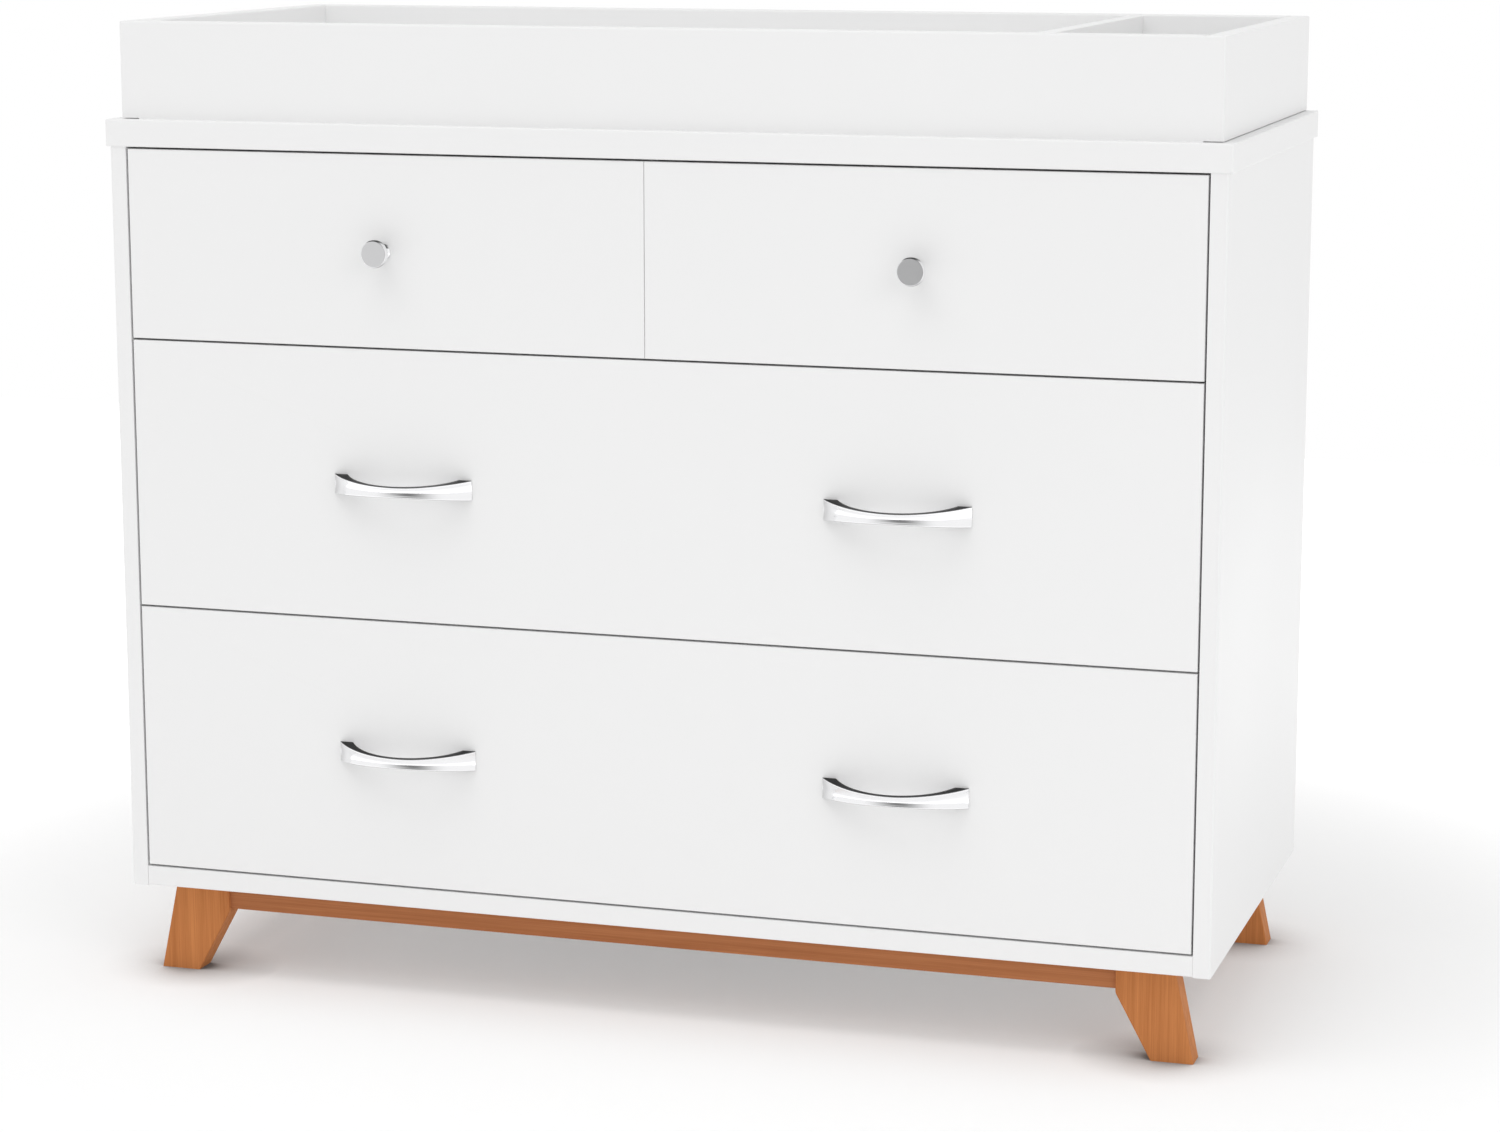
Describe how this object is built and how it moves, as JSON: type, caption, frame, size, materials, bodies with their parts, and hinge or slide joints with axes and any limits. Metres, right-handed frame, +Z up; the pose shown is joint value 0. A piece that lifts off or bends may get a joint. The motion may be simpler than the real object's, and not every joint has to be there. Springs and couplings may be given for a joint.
{
  "type": "dresser with changing tray",
  "caption": "White dresser with a changing tray on its top, wide and narrow drawers on telescopic slides, chrome bow handles and round knobs, and splayed wooden legs.",
  "frame": {"origin": "on the floor, under the middle of the overall footprint, handles and rear tie plates included", "axes": "+X across the front to the right as seen from the front, +Y from the front to the back, +Z up; the drawers open along -Y"},
  "size_m": [1.1276, 0.5286, 0.9735],
  "materials": {
    "painted_board": "white satin paint",
    "leg_wood": "reddish-brown stain under satin lacquer, straight grain",
    "drawer_box_wood": "pale wood, clear matt lacquer",
    "chrome": "polished chrome",
    "slide_steel": "bright zinc plated steel"
  },
  "bodies": {
    "case": {"left_side_panel": "painted_board", "right_side_panel": "painted_board", "bottom_board": "painted_board", "top_board": "painted_board", "back_panel": "painted_board", "drawer_shelf": "painted_board", "centre_partition": "painted_board", "drawer_stretcher": "painted_board", "front_right_leg": "leg_wood", "front_left_leg": "leg_wood", "rear_right_leg": "leg_wood", "rear_left_leg": "leg_wood", "front_rail": "leg_wood", "rear_rail": "leg_wood", "right_rail": "leg_wood", "left_rail": "leg_wood", "tray_front_board": "painted_board", "tray_rear_board": "painted_board", "tray_left_board": "painted_board", "tray_right_board": "painted_board", "tray_divider": "painted_board", "tray_plates": "slide_steel", "bottom_outer_runners": "slide_steel", "middle_outer_runners": "slide_steel", "top_left_outer_runners": "slide_steel", "top_right_outer_runners": "slide_steel"},
    "bottom_drawer": {"bottom_drawer_front": "painted_board", "bottom_drawer_left_side": "drawer_box_wood", "bottom_drawer_right_side": "drawer_box_wood", "bottom_drawer_back": "drawer_box_wood", "bottom_drawer_panel": "drawer_box_wood", "bottom_inner_runners": "slide_steel", "bottom_left_handle": "chrome", "bottom_right_handle": "chrome"},
    "bottom_centre_members": {"bottom_centre_runners": "slide_steel"},
    "middle_drawer": {"middle_drawer_front": "painted_board", "middle_drawer_left_side": "drawer_box_wood", "middle_drawer_right_side": "drawer_box_wood", "middle_drawer_back": "drawer_box_wood", "middle_drawer_panel": "drawer_box_wood", "middle_inner_runners": "slide_steel", "middle_left_handle": "chrome", "middle_right_handle": "chrome"},
    "middle_centre_members": {"middle_centre_runners": "slide_steel"},
    "top_left_drawer": {"top_left_drawer_front": "painted_board", "top_left_drawer_left_side": "drawer_box_wood", "top_left_drawer_right_side": "drawer_box_wood", "top_left_drawer_back": "drawer_box_wood", "top_left_drawer_panel": "drawer_box_wood", "top_left_inner_runners": "slide_steel", "top_left_knob": "chrome"},
    "top_left_centre_members": {"top_left_centre_runners": "slide_steel"},
    "top_right_drawer": {"top_right_drawer_front": "painted_board", "top_right_drawer_left_side": "drawer_box_wood", "top_right_drawer_right_side": "drawer_box_wood", "top_right_drawer_back": "drawer_box_wood", "top_right_drawer_panel": "drawer_box_wood", "top_right_inner_runners": "slide_steel", "top_right_knob": "chrome"},
    "top_right_centre_members": {"top_right_centre_runners": "slide_steel"}
  },
  "joints": [
    {"name": "bottom_drawer_slide", "type": "slide", "parent": "case", "child": "bottom_drawer", "axis": [0, -1, 0], "range_m": [0, 0.38]},
    {"name": "bottom_centre_slide", "type": "slide", "parent": "case", "child": "bottom_centre_members", "axis": [0, -1, 0], "range_m": [0, 0.19]},
    {"name": "middle_drawer_slide", "type": "slide", "parent": "case", "child": "middle_drawer", "axis": [0, -1, 0], "range_m": [0, 0.38]},
    {"name": "middle_centre_slide", "type": "slide", "parent": "case", "child": "middle_centre_members", "axis": [0, -1, 0], "range_m": [0, 0.19]},
    {"name": "top_left_drawer_slide", "type": "slide", "parent": "case", "child": "top_left_drawer", "axis": [0, -1, 0], "range_m": [0, 0.38]},
    {"name": "top_left_centre_slide", "type": "slide", "parent": "case", "child": "top_left_centre_members", "axis": [0, -1, 0], "range_m": [0, 0.19]},
    {"name": "top_right_drawer_slide", "type": "slide", "parent": "case", "child": "top_right_drawer", "axis": [0, -1, 0], "range_m": [0, 0.38]},
    {"name": "top_right_centre_slide", "type": "slide", "parent": "case", "child": "top_right_centre_members", "axis": [0, -1, 0], "range_m": [0, 0.19]}
  ],
  "couplings": [
    {"joint": "bottom_centre_slide", "follows": "bottom_drawer_slide", "ratio": 0.5},
    {"joint": "middle_centre_slide", "follows": "middle_drawer_slide", "ratio": 0.5},
    {"joint": "top_left_centre_slide", "follows": "top_left_drawer_slide", "ratio": 0.5},
    {"joint": "top_right_centre_slide", "follows": "top_right_drawer_slide", "ratio": 0.5}
  ]
}
